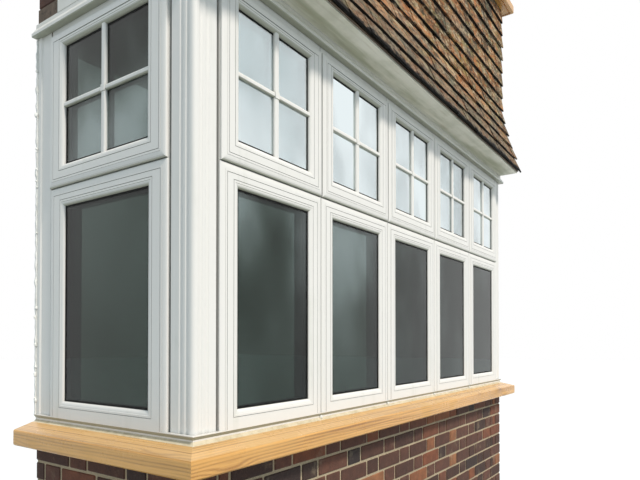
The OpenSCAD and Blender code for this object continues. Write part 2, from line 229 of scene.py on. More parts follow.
class Nodes:
    """A node tree, with short ways to add procedural nodes to it."""

    def __init__(self, tree):
        self.tree = tree

    def put(self, socket, value):
        """Gives an input the value of a node, a number, a vector or a colour."""
        if isinstance(value, Value):
            self.tree.links.new(value.socket, socket)
        else:
            socket.default_value = rgba(value) if socket.type == "RGBA" else value

    def node(self, kind, inputs=(), **settings):
        node = self.tree.nodes.new(f"ShaderNode{kind}")
        for key, setting in settings.items():
            setattr(node, key, setting)
        for key, value in dict(inputs).items():
            self.put(node.inputs[key], value)
        return node

    def value(self, kind, output, inputs=(), **settings):
        """What a new node of this kind gives."""
        return Value(self, self.node(kind, inputs, **settings).outputs[output])

    def axis(self, name, vector):
        """Part of a place or a direction along one axis of the bay."""
        return self.value("SeparateXYZ", name, {0: vector})

    def math(self, operation, *values, clamp=False):
        return self.value("Math", 0, enumerate(values), operation=operation, use_clamp=clamp)

    def seen(self):
        """1 where the camera sees a thing, also in a mirror or through glass."""
        path = self.node("LightPath").outputs
        camera, glossy, clear = [Value(self, path[f"Is {ray} Ray"])
                                 for ray in ("Camera", "Glossy", "Transmission")]
        return self.math("MAXIMUM", camera, self.math("MAXIMUM", glossy, clear))


class Finish(Nodes):
    """A material in the making."""

    def __init__(self, name):
        self.material = bpy.data.materials.new(f"bay_{name}")
        self.material.use_nodes = True
        super().__init__(self.material.node_tree)
        self.place = self.value("TexCoord", "Object")

    def mapped(self, stretch):
        return self.value("Mapping", 0, {"Vector": self.place, "Scale": stretch})

    def noise(self, scale, stretch=(1, 1, 1), detail=4, roughness=0.5):
        return self.value("TexNoise", "Fac", {
            "Vector": self.mapped(stretch), "Scale": scale, "Detail": detail, "Roughness": roughness})

    def cells(self, stretch):
        """Distance from the middle of the nearest cell."""
        return self.value("TexVoronoi", "Distance", {"Vector": self.mapped(stretch), "Scale": 1})

    def along(self, name):
        """Place along one axis of the bay."""
        return self.axis(name, self.place)

    def tilt(self, low, high):
        """0 at the low and 1 at the high tilt, which is 1 on tops and -1 on undersides."""
        normal = self.value("NewGeometry", "Normal")
        return self.band(self.axis("Z", normal), low, high)

    def crevices(self, distance):
        """1 in the narrow corners and grooves of a surface, and 0 where it is open."""
        openness = self.value("AmbientOcclusion", "AO", {"Distance": distance}, samples=6)
        return self.band(openness, 0.92, 0.3)

    def tone(self):
        """Tone that each brick or tile has of its own, and that tells each pane which painted
        reflection it gets.
        """
        return self.value("Attribute", "Fac", attribute_name="tone")

    def band(self, value, low, high):
        """0 at low and 1 at high, or the other way round where low is above high."""
        limits = (low, high, 0, 1) if low < high else (high, low, 1, 0)
        inputs = dict(zip(("From Min", "From Max", "To Min", "To Max"), limits), Value=value)
        return self.value("MapRange", "Result", inputs, interpolation_type="SMOOTHSTEP")

    def patches(self, low, high, scale, stretch=(1, 1, 1), detail=4, roughness=0.5):
        """Noise from 0 at low to 1 at high."""
        return self.band(self.noise(scale, stretch, detail, roughness), low, high)

    def ramp(self, factor, *stops):
        """Colour ramp with the given (place, colour) stops."""
        node = self.node("ValToRGB", {"Fac": factor})
        elements = node.color_ramp.elements
        while len(elements) < len(stops):
            elements.new(1)
        for element, (place, colour) in zip(elements, stops):
            element.position = place
            element.color = rgba(colour)
        return Value(self, node.outputs["Color"])

    def mix(self, share, first, second, blend="MIX"):
        return self.value("Mix", 2, {0: share, 6: first, 7: second}, data_type="RGBA",
                          blend_type=blend)

    def coated(self, colour, *coats):
        """A colour under coats, each with its share and its own colour."""
        for share, coat in coats:
            colour = self.mix(share, colour, coat)
        return colour

    def done(self, colour, height=None, distance=0, strength=1, **inputs):
        """The material with its colour, any fine relief, and what else its shader is given."""
        inputs["Base_Color"] = colour
        if height is not None:
            inputs["Normal"] = self.value(
                "Bump", "Normal", {"Height": height, "Distance": distance, "Strength": strength})
        for key, value in inputs.items():
            self.put(self.tree.nodes["Principled BSDF"].inputs[key.replace("_", " ")], value)
        return self.material


def scaled(colour, factor):
    return tuple(min(c * factor, 1) for c in colour)


def white_paint(colours, name="white_paint", stained=0):
    finish = Finish(name)
    smudges = finish.noise(3.2, detail=6, roughness=0.62)
    streaks = finish.patches(0.48, 0.78, 1, (26, 26, 1.6), 5, 0.6)
    specks = finish.patches(0.70, 0.78, 190, detail=2)
    painted = finish.coated(
        colours.white,
        (streaks * finish.band(smudges, 0.42, 0.75) * 0.55 + specks * 0.16, colours.grime_and_shade),
        (finish.band(smudges, 0.25, 0.65) * stained, colours.algae_and_shade),
        # Painted shade on the undersides, in a darker green-grey
        (finish.tilt(-0.05, -0.6) * 0.72, scaled(colours.algae_and_shade, 0.75)),
        # Darker in the grooves and joints: partly dirt, partly painted shade where the surface is
        # occluded
        (finish.crevices(0.016) * 0.5, scaled(colours.grime_and_shade, 0.22)))
    return finish.done(painted, finish.noise(60, detail=3), 0.0004, 0.5,
                       Roughness=finish.band(smudges, -0.9, 2.4))


def grain(finish, along, light, dark):
    """Colour and shade of straight-grained timber with a few knots, its grain along an axis."""
    def stretch(lengthwise, sideways):
        return tuple(lengthwise if axis == along else sideways for axis in "XYZ")

    knots = finish.cells(stretch(2.1, 9))
    wander = finish.noise(1, stretch(0.8, 4), 3) * 0.05
    depth = finish.along("Z") + finish.along("Y" if along == "X" else "X") * 0.6
    figure = depth + wander + finish.band(knots, 0.32, 0.04) * 0.02
    rings = finish.math("SINE", figure * (2 * math.pi / TIMBER_RING))
    fibre = finish.noise(1, stretch(5, 320), 4, 0.7)
    board = finish.noise(1, stretch(0.6, 11), 2)
    shade = rings * 0.12 + (fibre * 0.6 + board * 0.6)
    wood = finish.ramp(finish.band(shade, 0.25, 1.0),
                       (0, scaled(light, 1.2)), (0.45, light), (1, dark))
    return finish.coated(
        wood,
        (finish.patches(0.53, 0.68, 1, stretch(0.9, 70), 3, 0.6) * 0.75, dark),
        (finish.patches(0.52, 0.66, 1, stretch(0.7, 45), 3) * 0.6, scaled(light, 1.3)),
        (finish.band(knots, 0.22, 0.08) * 0.55, dark),
        (finish.band(knots, 0.09, 0.04), scaled(dark, 0.35))), shade


def golden_timber(colours, along="X"):
    finish = Finish(f"golden_timber_{along.lower()}")
    wood, shade = grain(finish, along, colours.timber, colours.timber_dark)
    if along == "X":
        from_glue = finish.along("Y") - GLUE_LINE_Y
    else:
        from_glue = finish.math("ABSOLUTE", finish.along("X")) - GLUE_LINE_X
    away = finish.math("ABSOLUTE", from_glue)
    weather = finish.patches(0.46, 0.74, 4, detail=6, roughness=0.65)
    wood = finish.coated(
        wood,
        (finish.tilt(0.4, 0.9) * 0.4 + weather * 0.3, colours.bleached),
        (finish.band(away, 0.0022, 0.0008) * 0.6, scaled(colours.timber_dark, 0.6)))
    return finish.done(wood, shade, 0.0006, 0.6, Roughness=finish.band(weather, -1.1, 2.2))


def raw_timber(colours):
    finish = Finish("raw_timber")
    wood, shade = grain(finish, "X", linear("66574a"), linear("382f27"))
    return finish.done(wood, shade, 0.001, 0.7, Roughness=0.8)


def brick(colours):
    finish = Finish("brick")
    middle = colours.brick
    tones = finish.ramp(finish.tone(), (0.0, "2f2523"), (0.22, scaled(middle, 0.45)),
                        (0.5, scaled(middle, 0.8)), (0.74, middle), (0.9, "8b5236"), (1.0, "a9744f"))
    cloud = finish.noise(23, detail=6, roughness=0.65)
    clay = finish.mix(0.75, tones, finish.ramp(
        cloud, (0.25, (0.30, 0.30, 0.30)), (0.5, (0.62, 0.60, 0.60)), (0.75, (1.0, 0.96, 0.9))),
        "MULTIPLY")
    smear = finish.patches(0.55, 0.75, 9, detail=7, roughness=0.7) * 0.32
    return finish.done(finish.mix(smear, clay, colours.mortar),
                       cloud * 0.7 + finish.noise(170, detail=4), 0.0035, 0.8, Roughness=0.88)


def mortar(colours):
    finish = Finish("mortar")
    sand = finish.noise(320, detail=3, roughness=0.7)
    stained = finish.ramp(finish.patches(0.3, 0.7, 5, detail=6, roughness=0.6),
                          (0, scaled(colours.mortar, 0.62)), (1, colours.mortar))
    colour = finish.mix(finish.band(sand, 0.35, 0.7), stained, scaled(colours.mortar, 1.25))
    return finish.done(colour, sand, 0.002, 0.8, Roughness=0.95)


def clay_tile(colours):
    """Mottled clay, sooty at the foot of the tiling, with painted shade under the tails of each next
    course and along the lower edge of each tail, and a painted black shade line along the very foot.
    """
    finish = Finish("clay_tile")
    level = (0.42, 0.42, 1)
    middle = colours.tile
    clay = finish.ramp(finish.tone(), (0.0, "4b4035"), (0.25, scaled(middle, 0.5)),
                       (0.6, scaled(middle, 0.95)), (0.85, "b07548"), (1.0, "c79a70"))
    cloud = finish.noise(70, level, 6, 0.75)
    clay = finish.mix(0.8, clay, finish.ramp(
        cloud, (0.36, (0.4, 0.38, 0.35)), (0.5, (0.88, 0.86, 0.83)), (0.62, (1.0, 1.0, 1.0))),
        "MULTIPLY")
    clay = finish.coated(clay, *(
        (finish.patches(low, high, scale, level, 4, 0.6) * share, colour)
        for scale, low, high, share, colour in (
            (9, 0.48, 0.60, 0.50, colours.lichen), (17, 0.53, 0.61, 0.55, "c07c4e"),
            (22, 0.54, 0.62, 0.50, "988c57"), (19, 0.54, 0.62, 0.55, "666c58"),
            (27, 0.55, 0.62, 0.50, "cbb998"), (33, 0.54, 0.61, 0.60, "352d24"),
            (58, 0.56, 0.63, 0.45, "dccaa6"), (47, 0.54, 0.61, 0.60, "211b15"))))
    ragged = (finish.noise(42, level, 5, 0.65) - 0.5) * 0.12
    rise = finish.along("Z") - TAIL_Z
    height = rise + ragged
    sooty = finish.mix(finish.band(cloud, 0.42, 0.58), "2e2b25", "7d786c")
    courses = bpy.context.scene.bay_tiles.courses
    step = finish.math("FRACT", rise * (courses / (UPPER_TOP - TAIL_Z)))
    # Painted shade: near black along the top of each course, under the tails of the next, and along the
    # lower edge of each tail
    painted_course_shade = finish.math("MAXIMUM", finish.band(step + ragged, 0.91, 0.95),
                          finish.band(step, 0.04, 0.015))
    clay = finish.coated(
        clay,
        (finish.band(height, 0.42, 0.08) * 0.6, sooty),
        # Painted shade: a near-black line along the very foot, under the lowest tails
        (finish.band(height, 0.032, 0.02), "0a0806"),
        (painted_course_shade * 0.97, "060504"))
    return finish.done(clay, cloud + finish.noise(140, detail=4) * 0.5, 0.005, 0.8,
                       Roughness=0.9, Specular_IOR_Level=0.2)


def soffit_paint(colours):
    """Paint with green streaks, which make it darker from the wall out past its middle and paler
    towards its outer edge, and brown streaks.
    """
    finish = Finish("soffit_paint")
    reach = FACE_Y - finish.along("Y")
    middle = finish.band(reach, 0.0, 0.03) * finish.band(reach, 0.125, 0.065)
    streaks = finish.noise(1, (1.1, 14, 14), 6, 0.6)
    stained = finish.coated(
        colours.soffit,
        (middle * finish.band(streaks, 0.35, 0.68) * 0.75, colours.algae_and_shade),
        (finish.patches(0.54, 0.74, 1, (2.4, 26, 26), 5, 0.55) * 0.35, "a08c6a"),
        (finish.patches(0.4, 0.75, 7, detail=5, roughness=0.6) * 0.3, scaled(colours.algae_and_shade, 1.1)))
    return finish.done(stained, finish.noise(70, detail=5), 0.001, 0.5,
                       Roughness=finish.band(streaks, -0.8, 1.6))


def window_glass(colours):
    """Glass with painted reflections: its tone is 1 where a painted sky reflection brightens it, 0
    before the unlit room, whose shade its dark tint paints, and -1 where it is darkened as a painted
    reflection of the dark wall beside it."""
    finish = Finish("window_glass")
    tone = finish.tone()
    # Painted sky reflection: soft clouds, brighter towards the top of the glass, fading where the glass
    # is darkened as a painted reflection of the wall
    painted_sky_clouds = finish.patches(0.36, 0.66, 1, (2.3, 2.3, 1.5), 3, 0.45)
    upper = finish.band(finish.along("Z"), GLASS_Z, GLASS_TOP)
    painted_sky_gleam = painted_sky_clouds * (upper * 0.42 + 0.08) * finish.band(tone, -1.45, 0)
    tint_and_painted_sky = finish.mix(tone, colours.glass, colours.painted_sky_glass)
    mirror = finish.math("ADD", tone * (painted_sky_clouds * 0.5 + 0.4), painted_sky_gleam * 0.25, clamp=True)
    return finish.done(finish.mix(painted_sky_gleam, tint_and_painted_sky, colours.painted_sky_glass), finish.noise(1.1, detail=1),
                       0.0015, 0.12, Metallic=mirror, Roughness=0, IOR=1.32, Transmission_Weight=1)


def plaster(colours):
    finish = Finish("plaster")
    colour = finish.ramp(finish.noise(2.5, detail=6, roughness=0.6), (0.3, "cfcabc"), (0.7, "e3dfd4"))
    return finish.done(colour, finish.noise(45, detail=5), 0.0012, 0.6, Roughness=0.9)


def flecked(name, dark, light, pattern, distance, **inputs):
    """Plain material with flecks of noise between its dark and light (place, colour) stops."""
    finish = Finish(name)
    flecks = finish.noise(**pattern)
    return finish.done(finish.ramp(flecks, dark, light), flecks, distance, 0.4, **inputs)


def spacer_metal(colours):
    # Nearly black: a dark spacer bar, darkened further as painted shade inside the unit
    return flecked("spacer_metal", (0.35, "0e1110"), (0.65, "232a29"), {"scale": 220, "detail": 2},
                   0.0003, Roughness=0.6, Specular_IOR_Level=0.2)


def gasket_rubber(colours):
    return flecked("gasket_rubber", (0.4, "060707"), (0.75, "1c1e1d"), {"scale": 35, "detail": 5},
                   0.0003, Roughness=0.7, Specular_IOR_Level=0.2)


def sealant(name, light, dark):
    return flecked(name, (0.3, dark), (0.6, light), {"scale": 28, "detail": 6, "roughness": 0.7},
                   0.0006, Roughness=0.5)


def floor_paint():
    """Pale grey that throws grey light back, and looks white itself."""
    finish = Finish("floor_paint")
    colour = finish.mix(finish.seen(), "abb0b1", "efefef")
    return finish.done(colour, Roughness=0.9, Specular_IOR_Level=0.1)


MAKERS = {
    "white_paint": white_paint,
    "stained_paint": lambda colours: white_paint(colours, "stained_paint", 0.22),
    "golden_timber": golden_timber,
    "golden_timber_sides": lambda colours: golden_timber(colours, "Y"),
    "raw_timber": raw_timber,
    "brick": brick,
    "mortar": mortar,
    "clay_tile": clay_tile,
    "soffit_paint": soffit_paint,
    "plaster": plaster,
    "window_glass": window_glass,
    "spacer_metal": spacer_metal,
    "gasket_rubber": gasket_rubber,
    "white_sealant": lambda colours: sealant("white_sealant", "f2f2ee", "d5d6d0"),
    "cream_sealant": lambda colours: sealant("cream_sealant", "d9ccb0", "b8a988"),
}
FINISHES = {}


def finish_of(name):
    """The material of this name, made on first use."""
    if name not in FINISHES:
        chosen = bpy.context.scene.bay_finishes
        colours = {key: tuple(getattr(chosen, key)) for key in BayFinishSettings.__annotations__}
        FINISHES[name] = MAKERS[name](SimpleNamespace(**colours))
    return FINISHES[name]


# Mesh helpers

class Batch:
    """Many small solids joined in one mesh, each with a tone of its own."""

    def __init__(self):
        self.bm = bmesh.new()
        self.bm.faces.layers.float.new("tone")

    def add(self, template, matrix, tone=0.5):
        first_vert, first_face = len(self.bm.verts), len(self.bm.faces)
        self.bm.from_mesh(template)
        self.bm.verts.ensure_lookup_table()
        self.bm.faces.ensure_lookup_table()
        bmesh.ops.transform(self.bm, matrix=matrix, verts=self.bm.verts[first_vert:])
        layer = self.bm.faces.layers.float["tone"]
        for face in self.bm.faces[first_face:]:
            face[layer] = tone


def to_mesh(bm, name="template"):
    """Mesh of this name, in place of its bmesh."""
    mesh = bpy.data.meshes.new(name)
    bm.to_mesh(mesh)
    bm.free()
    return mesh


def stand(name, data):
    """Puts a new object into the scene."""
    obj = bpy.data.objects.new(name, data)
    bpy.context.scene.collection.objects.link(obj)
    return obj


def piece(bm, name, finishes, replaced=()):
    """Makes a finished piece of a mesh: it rides on the bay and may stand for some nodes."""
    if not bm.faces:
        raise RuntimeError(f"{name} has no faces")
    obj = stand(name, to_mesh(bm, name))
    for finish in finishes:
        obj.data.materials.append(finish_of(finish))
    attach(obj, ROOT)
    if replaced:
        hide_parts(*replaced)


def box(size, middle=(0, 0, 0)):
    """Box of a size, moved by the given shares of it."""
    bm = bmesh.new()
    bmesh.ops.create_cube(bm, size=1, matrix=Matrix.Diagonal((*size, 1)) @ moved(*middle))
    return bm


def round_off(bm, edges, offset, segments):
    bmesh.ops.bevel(bm, geom=edges, offset=offset, segments=segments, profile=0.5, affect="EDGES",
                    material=-1)


def edges_along(bm, axis, length):
    """Edges that reach further than a length along an axis."""
    return [e for e in bm.edges if abs(e.verts[0].co[axis] - e.verts[1].co[axis]) > length]


def block(size, bevel):
    """Box around its own centre with softened edges."""
    bm = box(size)
    if bevel:
        round_off(bm, bm.edges[:], bevel, 1)
    return to_mesh(bm)


def extrude(bm, faces, drop):
    """Makes a closed solid of faces by drawing them out."""
    grown = bmesh.ops.extrude_face_region(bm, geom=faces)["geom"]
    bmesh.ops.translate(bm, vec=drop, verts=[v for v in grown if isinstance(v, bmesh.types.BMVert)])
    bmesh.ops.recalc_face_normals(bm, faces=bm.faces)


def prism(outline, drop):
    """Closed solid of an outline of points, extruded by a vector."""
    bm = bmesh.new()
    extrude(bm, [bm.faces.new([bm.verts.new(point) for point in outline])], drop)
    return bm


def ring(width, height, bar, depth):
    """Upright rectangular ring around its centre, from y = 0 to its depth."""
    bm = bmesh.new()
    bmesh.ops.create_grid(bm, x_segments=1, y_segments=1, size=0.5,
                          matrix=turned(90, "X") @ Matrix.Diagonal((width, height, 1, 1)))
    middle = bm.faces[:]
    bmesh.ops.inset_region(bm, faces=middle, thickness=bar, use_even_offset=True, use_boundary=True)
    bmesh.ops.delete(bm, geom=middle, context="FACES_ONLY")
    extrude(bm, bm.faces[:], (0, depth, 0))
    return to_mesh(bm)


def around_the_bay(profile, stations):
    """Solid swept round the three sides of the bay from its (reach, height) profile, with
    mitred corners and the given number of steps along the front."""
    bm = bmesh.new()

    def path(reach):
        x, y = HALF_W + reach, FACE_Y - reach
        front = [(-x + 2 * x * k / stations, y) for k in range(stations + 1)]
        return [(-x, BACK_Y)] + front + [(x, BACK_Y)]

    paths = [path(reach) for reach, _ in profile]
    face = bm.faces.new([bm.verts.new((*route[0], height))
                         for route, (_, height) in zip(paths, profile)])
    for step in range(1, len(paths[0])):
        grown = bmesh.ops.extrude_face_region(bm, geom=[face])["geom"]
        face = next(g for g in grown if isinstance(g, bmesh.types.BMFace))
        for vert in face.verts:
            spot = min(range(len(profile)), key=lambda i: (
                (Vector((*paths[i][step - 1], profile[i][1])) - vert.co).length))
            vert.co = (*paths[spot][step], profile[spot][1])
    bmesh.ops.recalc_face_normals(bm, faces=bm.faces)
    return bm


def before_house(bm):
    """Trims what crosses the plane of the house wall."""
    for vert in bm.verts:
        vert.co.y = min(vert.co.y, BACK_Y)
    return bm


def solids_of(node):
    """Boxes of the separate solids of a CAD node."""
    bm = bmesh.new()
    bm.from_mesh(frame["nodes"][node].data)
    bmesh.ops.remove_doubles(bm, verts=bm.verts, dist=1e-5)
    boxes, seen = [], set()
    for start in bm.verts:
        if start in seen:
            continue
        seen.add(start)
        island, queue = [start], [start]
        while queue:
            for edge in queue.pop().link_edges:
                for vert in edge.verts:
                    if vert not in seen:
                        seen.add(vert)
                        island.append(vert)
                        queue.append(vert)
        low = Vector([min(v.co[i] for v in island) for i in range(3)])
        high = Vector([max(v.co[i] for v in island) for i in range(3)])
        boxes.append((low, high))
    bm.free()
    return boxes


# Brickwork

def bond(length, first, last, pattern, joint):
    """Places and lengths of the bricks of one course: fixed ends and a pattern between them."""
    bricks, x = [], 0
    for size in first:
        bricks.append((x, size))
        x += size + joint
    stop = length + joint - sum(size + joint for size in last)
    k = 0
    while stop - x > 2 * joint:
        room = stop - x - joint
        size = pattern[k % len(pattern)]
        if room - size < 5 * joint:
            size = room
        bricks.append((x, size))
        x += size + joint
        k += 1
    for size in last:
        bricks.append((x, size))
        x += size + joint
    return bricks


class Bricklayer:
    """Lays courses of bricks on the three walls of the bay in one joined mesh."""

    def __init__(self, sizes, seed, depth):
        self.sizes, self.depth = sizes, depth
        self.random = random.Random(seed)
        self.batch = Batch()
        self.templates = {}

    def lay(self, wall, x, length, z, depth_from=0.0):
        key = round(length, 3)
        if key not in self.templates:
            self.templates[key] = block((key, self.depth, self.sizes.height), BRICK_BEVEL)
        rnd = self.random
        place = moved(x + length / 2, depth_from + self.depth / 2 + rnd.uniform(0, BRICK_PROUD),
                      z + self.sizes.height / 2 + rnd.uniform(-BRICK_LIFT, BRICK_LIFT))
        turn = turned(rnd.uniform(-BRICK_TURN, BRICK_TURN), "Y")
        lean = turned(rnd.uniform(-BRICK_LEAN, BRICK_LEAN), "Z")
        self.batch.add(self.templates[key], WALLS[wall] @ place @ turn @ lean, rnd.random())

    def course(self, wall, bricks, z, flip=False):
        length = SIDE_LENGTH if wall != "front" else FRONT_LENGTH
        for x, size in bricks:
            self.lay(wall, length - x - size if flip else x, size, z)


def wall_core(z0, z1, outer, inner, end):
    """U-shaped body of a wall between two depths from the bay's faces."""
    x0, x1 = HALF_W - outer, HALF_W - inner
    y0, y1, back = FACE_Y + outer, FACE_Y + inner, BACK_Y - end
    plan = [(-x0, back), (-x0, y0), (x0, y0), (x0, back), (x1, back), (x1, y1), (-x1, y1), (-x1, back)]
    bm = prism([(x, y, z0) for x, y in plan], (0, 0, z1 - z0))
    for face in bm.faces:
        middle = face.calc_center_median()
        upright = abs(face.normal.z) < 0.5
        inside = abs(middle.x) < x1 + 1e-4 and y1 - 1e-4 < middle.y < back - 1e-4
        face.material_index = 1 if upright and inside else 0
    return bm


def course_levels(z0, z1, height, joint):
    """Bottoms of the brick courses between two levels."""
    count = round((z1 - z0) / (height + joint))
    step = (z1 - z0) / count
    return [z0 + k * step + joint / 2 for k in range(count)]


def dwarf_brickwork(sizes):
    """Flemish bond with closers beside the corners."""
    layer = Bricklayer(sizes, seed=11, depth=sizes.width)
    whole, header, joint = sizes.length, sizes.width, sizes.joint
    closer = (header - joint) / 2
    for k, z in enumerate(course_levels(0, SILL_Z, sizes.height, joint)):
        if k % 2 == 0:
            front = bond(FRONT_LENGTH, [whole], [whole], [header, whole], joint)
            side = bond(SIDE_LENGTH, [header, closer], [], [whole, header], joint)[1:]
        else:
            front = bond(FRONT_LENGTH, [header, closer], [closer, header], [whole, header], joint)[1:-1]
            side = bond(SIDE_LENGTH, [whole], [], [header, whole], joint)
        layer.course("front", front, z)
        layer.course("right", side, z)
        layer.course("left", side, z, flip=True)
        inner = DWARF_T - sizes.plaster - sizes.width
        for wall, x in (("left", 0), ("right", SIDE_LENGTH - whole)):
            layer.lay(wall, x, whole, z, inner)
    return before_house(layer.batch.bm)


def upper_brickwork(sizes):
    """Stretcher bond on the returns of the wall over the head."""
    layer = Bricklayer(sizes, seed=23, depth=UPPER_T - sizes.plaster)
    whole, joint = sizes.length, sizes.joint
    for k, z in enumerate(course_levels(UPPER_Z, UPPER_TOP, sizes.height, joint)):
        ends = [whole] if k % 2 == 0 else [sizes.width]
        side = bond(SIDE_LENGTH, ends, [], [whole], joint)
        layer.course("right", side, z)
        layer.course("left", side, z, flip=True)
    return before_house(layer.batch.bm)


# Tiles

def sweep(tiles, h):
    """Reach of the tile faces at a height above the tail of the lowest course."""
    share = max(1 - h / tiles.bell_height, 0)
    return tiles.reach + tiles.bell_reach * share ** 1.25


def tile_template(width, height, thickness, camber, warp):
    """One tile standing on its tail, its face at y = 0, slightly curved both ways."""
    bm = box((width, thickness, height), (0, 0.5, 0.5))
    bmesh.ops.subdivide_edges(bm, edges=edges_along(bm, 0, width / 2), cuts=3, use_grid_fill=True)
    bmesh.ops.subdivide_edges(bm, edges=edges_along(bm, 2, height / 2), cuts=1, use_grid_fill=True)
    for vert in bm.verts:
        u, v = 2 * vert.co.x / width, vert.co.z / height
        vert.co.y += camber * u * u * (1 - 0.5 * v) + warp * (1 - v) * u
        vert.co.z += 0.6 * warp * (1 - v) * (u * u - 0.4)
    return to_mesh(bm)


def tile_courses(tiles):
    rnd = random.Random(5)
    batch = Batch()
    gauge = (UPPER_TOP - TAIL_Z) / tiles.courses
    span = 2 * TILE_HALF_W
    count = round(span / tiles.width)
    width = span / count
    templates = {}

    def template(size, height):
        key = (round(size, 3), round(height, 3), rnd.randrange(5))
        if key not in templates:
            bend = random.Random(key[2])
            templates[key] = tile_template(size, height, tiles.thickness, bend.uniform(*TILE_CAMBER),
                                           bend.uniform(-TILE_WARP, TILE_WARP))
        return templates[key]

    for course in range(tiles.courses):
        low, high = course * gauge, (course + 1) * gauge
        foot = TILE_SETBACK - sweep(tiles, low)
        head = TILE_SETBACK - sweep(tiles, high) + tiles.thickness + tiles.slack
        last = course == tiles.courses - 1
        height = math.hypot(head - foot, gauge) + (0 if last else tiles.lap)
        lean = Matrix.Rotation(-math.atan2(head - foot, gauge), 4, "X")
        edges = [width * k for k in range(count + 1)]
        if course % 2:
            edges = [0] + [width * (k + 0.5) for k in range(count)] + [span]
        for left, right in zip(edges, edges[1:]):
            size = right - left - tiles.gap
            drop = rnd.uniform(-TILE_DROP, TILE_DROP) * (0 if last else 1)
            proud = rnd.uniform(0, TILE_PROUD)
            place = moved(-TILE_HALF_W + (left + right) / 2, FACE_Y + foot + proud,
                          TAIL_Z + low + (max(drop, 0) if course == 0 else drop))
            twist = turned(rnd.uniform(-TILE_TWIST, TILE_TWIST), "Y")
            tip = turned(rnd.uniform(*TILE_TIP), "X")
            batch.add(template(size, height), place @ lean @ twist @ tip, rnd.random())
    return batch.bm


def tile_backing(tiles):
    """Boarded back of the tiling, which follows its sweep down to the soffit."""
    steps, gap, board, lift = 18, 0.008, 0.016, 0.004
    front, back = [], []
    for k in range(steps + 1):
        share = k / steps
        h = (UPPER_TOP - TAIL_Z) * share ** 1.6
        reach = sweep(tiles, h) - 2 * tiles.thickness - gap
        z = TAIL_Z + h + lift * (1 - share)
        front.append((-HALF_W, FACE_Y - reach, z))
        back.append((-HALF_W, FACE_Y - max(reach - board, 0), z))
    return prism(front + back[::-1], (FRONT_LENGTH, 0, 0))


# Glazing

Unit = namedtuple("Unit", "matrix width height depth front")


def unit_places(node):
    """Place, width, height and depth of each sealed unit of a node, and whether it faces front."""
    units = []
    for low, high in solids_of(node):
        size, middle = high - low, (low + high) / 2
        front = size.y < size.x
        if front:
            turn, outer = 0, Vector((middle.x, low.y, middle.z))
        else:
            turn = -90 if middle.x < 0 else 90
            outer = Vector((low.x if middle.x < 0 else high.x, middle.y, middle.z))
        units.append(Unit(moved(*outer) @ turned(turn, "Z"), max(size.x, size.y), size.z,
                          min(size.x, size.y), front))
    return units


def panes(units, glazing, with_painted_sky):
    """Two sheets of glass for each unit, whose tone says which painted reflection they get: 1 for the
    sky's, 0 for none, -1 for the dark wall's.
    """
    batch = Batch()
    for unit in units:
        sheet = block((unit.width, glazing.pane, unit.height), 0)
        tone = int(with_painted_sky) - int(not unit.front)
        for y in (glazing.pane / 2, unit.depth - glazing.pane / 2):
            batch.add(sheet, unit.matrix @ moved(0, y, 0), tone)
    return batch.bm


def spacers(units, glazing):
    """Hollow bar between the two sheets, seen at the edge of each unit."""
    batch, clear, edge = Batch(), 0.0002, 0.004
    for matrix, width, height, depth, _ in units:
        bar = glazing.cover + glazing.spacer - edge
        space = depth - 2 * glazing.pane - 2 * clear
        batch.add(ring(width - 2 * edge, height - 2 * edge, bar, space),
                  matrix @ moved(0, glazing.pane + clear, 0))
    return batch.bm


def gaskets(units, glazing):
    """Thin dark strips where the glass meets its beads, outside and inside."""
    batch, thin = Batch(), 0.0012
    for matrix, width, height, depth, _ in units:
        seen = glazing.cover
        strip = ring(width - 2 * seen, height - 2 * seen, glazing.gasket, thin)
        for y in (-thin, depth):
            batch.add(strip, matrix @ moved(0, y, 0))
    return batch.bm


def moulded_bar(length, width, depth):
    """Upright glazing bar with rounded outer edges, its back at y = 0 and its face at -depth."""
    bm = box((width, depth, length), (0, -0.5, 0))
    outer = [e for e in edges_along(bm, 2, length / 2) if e.verts[0].co.y < -depth / 2]
    round_off(bm, outer, 0.65 * depth, 4)
    return to_mesh(bm)


def glazing_bars(units, glazing):
    """Cross of bars over both faces of each upper unit, with a small boss at the crossing."""
    batch, hidden, clear, step = Batch(), 0.006, 0.0003, 0.0012
    for matrix, width, height, depth, _ in units:
        tall = height - 2 * glazing.cover + 2 * hidden
        wide = width - 2 * glazing.cover + 2 * hidden
        outside = moved(0, -clear, 0)
        inside = moved(0, depth + clear, 0) @ turned(180, "Z")
        for side in (outside, inside):
            batch.add(moulded_bar(tall, glazing.upright, glazing.bar_depth), matrix @ side)
            batch.add(moulded_bar(wide, glazing.rail, glazing.bar_depth - step),
                      matrix @ side @ turned(90, "Y"))
        boss = block((glazing.upright * 0.94, 0.004, glazing.rail * 1.3), 0.0015)
        batch.add(boss, matrix @ outside @ moved(0, -glazing.bar_depth, 0))
    return batch.bm


# Sealant

def blob(radius, squash, seed):
    """Small uneven lump of sealant."""
    bm = bmesh.new()
    bmesh.ops.create_icosphere(bm, subdivisions=2, radius=radius)
    bmesh.ops.scale(bm, vec=squash, verts=bm.verts)
    for vert in bm.verts:
        vert.co *= 1 + 0.35 * noise.noise(vert.co * (1.4 / radius) + Vector((seed, 0, 0)))
    return to_mesh(bm)


